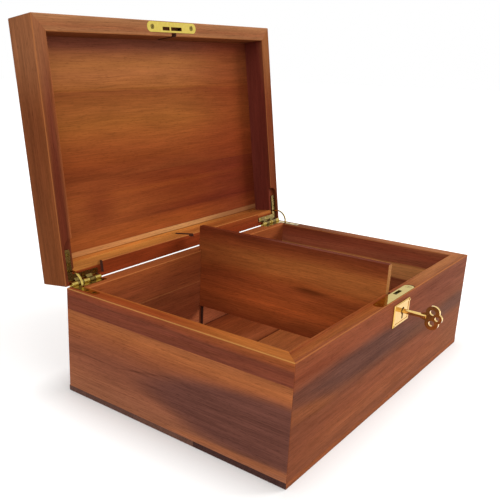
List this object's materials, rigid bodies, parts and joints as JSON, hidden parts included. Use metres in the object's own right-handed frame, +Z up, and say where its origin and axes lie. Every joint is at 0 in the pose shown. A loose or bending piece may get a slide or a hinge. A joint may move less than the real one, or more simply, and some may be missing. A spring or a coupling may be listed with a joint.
{
  "type": "wooden lock box",
  "caption": "Rectangular wooden keepsake box with a hinged lid on curved stays, a hook lock with a key, and a lift-out divider in grooves.",
  "frame": {"origin": "centre of the flat underside", "axes": "+Z up, -Y towards the lock at the front, +X to the right seen from the front"},
  "size_m": [0.325, 0.2995, 0.2992],
  "materials": {
    "wall_wood": "satin lacquered acacia",
    "lid_wood": "satin lacquered acacia",
    "floor_wood": "satin lacquered acacia",
    "divider_wood": "satin lacquered acacia",
    "brass": "polished",
    "lock_steel": "plain"
  },
  "bodies": {
    "box": {"back_wall": "wall_wood", "back_wall_strip": "wall_wood", "base_hinge_screws": "brass", "escutcheon": "brass", "escutcheon_pins": "brass", "floor_board_back": "floor_wood", "floor_board_front": "floor_wood", "floor_board_middle": "floor_wood", "front_wall": "wall_wood", "left_hinge_base_leaf": "brass", "left_hinge_pin": "brass", "left_wall": "wall_wood", "left_wall_strip": "wall_wood", "lock_case": "lock_steel", "lock_cover": "lock_steel", "lock_faceplate": "brass", "lock_posts": "lock_steel", "lock_screws": "brass", "right_hinge_base_leaf": "brass", "right_hinge_pin": "brass", "right_wall": "wall_wood"},
    "lid": {"left_hinge_lid_leaf": "brass", "lid_back_rail": "lid_wood", "lid_board_back": "lid_wood", "lid_board_front": "lid_wood", "lid_board_middle": "lid_wood", "lid_front_rail": "lid_wood", "lid_hinge_screws": "brass", "lid_left_rail": "lid_wood", "lid_right_rail": "lid_wood", "right_hinge_lid_leaf": "brass", "strike_plate": "brass", "strike_screws": "brass"},
    "stays": {"left_stay_arm": "brass", "right_stay_arm": "brass"},
    "divider": {"divider": "divider_wood"},
    "lock_cam": {"lock_cam": "lock_steel"},
    "lock_hook": {"lock_hook": "lock_steel"},
    "key": {"key": "brass"}
  },
  "joints": [
    {"name": "lid_hinge", "type": "hinge", "parent": "box", "child": "lid", "pos_m": [0, 0.1045, 0.092], "axis": [1, 0, 0], "range_deg": [0, 98]},
    {"name": "stay_swing", "type": "hinge", "parent": "box", "child": "stays", "pos_m": [0, 0.1045, 0.092], "axis": [1, 0, 0], "range_deg": [0, 49]},
    {"name": "divider_lift", "type": "slide", "parent": "box", "child": "divider", "axis": [0, 0, 1], "range_m": [-0.0224, 0.0872]},
    {"name": "key_turn", "type": "hinge", "parent": "box", "child": "lock_cam", "pos_m": [0.0056, -0.101, 0.0782], "axis": [0, 1, 0], "range_deg": [0, 90]},
    {"name": "hook_swing", "type": "hinge", "parent": "box", "child": "lock_hook", "pos_m": [-0.003, -0.0985, 0.0819], "axis": [0, -1, 0], "range_deg": [0, 65]},
    {"name": "key_pull", "type": "slide", "parent": "lock_cam", "child": "key", "axis": [0, -1, 0], "range_m": [0, 0.03]}
  ],
  "couplings": [
    {"joint": "stay_swing", "follows": "lid_hinge", "ratio": 0.5},
    {"joint": "hook_swing", "follows": "key_turn", "ratio": 0.72222}
  ]
}
